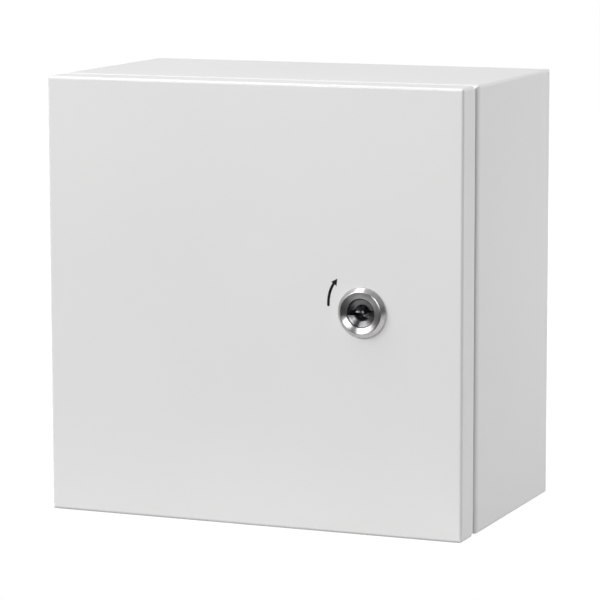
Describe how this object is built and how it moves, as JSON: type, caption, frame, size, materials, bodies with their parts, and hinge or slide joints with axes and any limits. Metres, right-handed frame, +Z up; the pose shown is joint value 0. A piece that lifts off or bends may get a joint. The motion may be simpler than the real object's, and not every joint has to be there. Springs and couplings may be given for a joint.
{
  "type": "wall-mounted electrical enclosure",
  "caption": "Square sheet-steel wall enclosure with a hinged full-face door, quarter-turn lock, foam seal, mounting plate and bottom gland plate.",
  "frame": {"origin": "centre of the flat rear face, on the wall", "axes": "+Y towards the wall, +X to the right as seen from the front, +Z up"},
  "size_m": [0.3, 0.1846, 0.3],
  "materials": {
    "powder_coat": "light grey, finely textured satin powder coat",
    "galvanised_plate": "galvanised sheet with a faint spangle",
    "zinc_hardware": "bright zinc plating",
    "bright_steel": "ground steel",
    "turned_chrome": "turned and chromed, with fine rings from the lathe",
    "dark_chrome": "dark polished chrome",
    "foam_gasket": "closed-cell foam, matt"
  },
  "bodies": {
    "body": {"body_wrap": "powder_coat", "rear_panel": "powder_coat", "mounting_plate": "galvanised_plate", "plate_studs": "zinc_hardware", "plate_spacers": "zinc_hardware", "plate_washers": "zinc_hardware", "plate_nuts": "zinc_hardware", "gland_gasket": "foam_gasket", "gland_plate": "powder_coat", "gland_studs": "zinc_hardware", "gland_nuts": "zinc_hardware", "hinge_leaf_body_upper": "zinc_hardware", "hinge_leaf_body_lower": "zinc_hardware", "hinge_pin_upper": "bright_steel", "hinge_pin_lower": "bright_steel", "hinge_screws": "zinc_hardware", "hinge_screw_nuts": "zinc_hardware", "earth_stud_body": "zinc_hardware", "earth_washer_body": "zinc_hardware", "earth_nut_body": "zinc_hardware"},
    "door": {"door_panel": "powder_coat", "door_gasket": "foam_gasket", "hinge_leaf_door_upper": "zinc_hardware", "hinge_leaf_door_lower": "zinc_hardware", "door_leaf_nuts": "zinc_hardware", "earth_stud_door": "zinc_hardware", "earth_washer_door": "zinc_hardware", "earth_nut_door": "zinc_hardware", "lock_housing": "turned_chrome", "lock_seal": "foam_gasket", "lock_nut": "zinc_hardware"},
    "lock": {"lock_core": "dark_chrome", "lock_cam": "zinc_hardware", "cam_washer": "zinc_hardware", "cam_screw": "zinc_hardware"}
  },
  "joints": [
    {"name": "door_hinge", "type": "hinge", "parent": "body", "child": "door", "pos_m": [-0.1435, -0.167, 0], "axis": [0, 0, -1], "range_deg": [0, 120]},
    {"name": "lock_turn", "type": "hinge", "parent": "door", "child": "lock", "pos_m": [0.08, -0.18, 0], "axis": [0, 1, 0], "range_deg": [0, 90]}
  ]
}
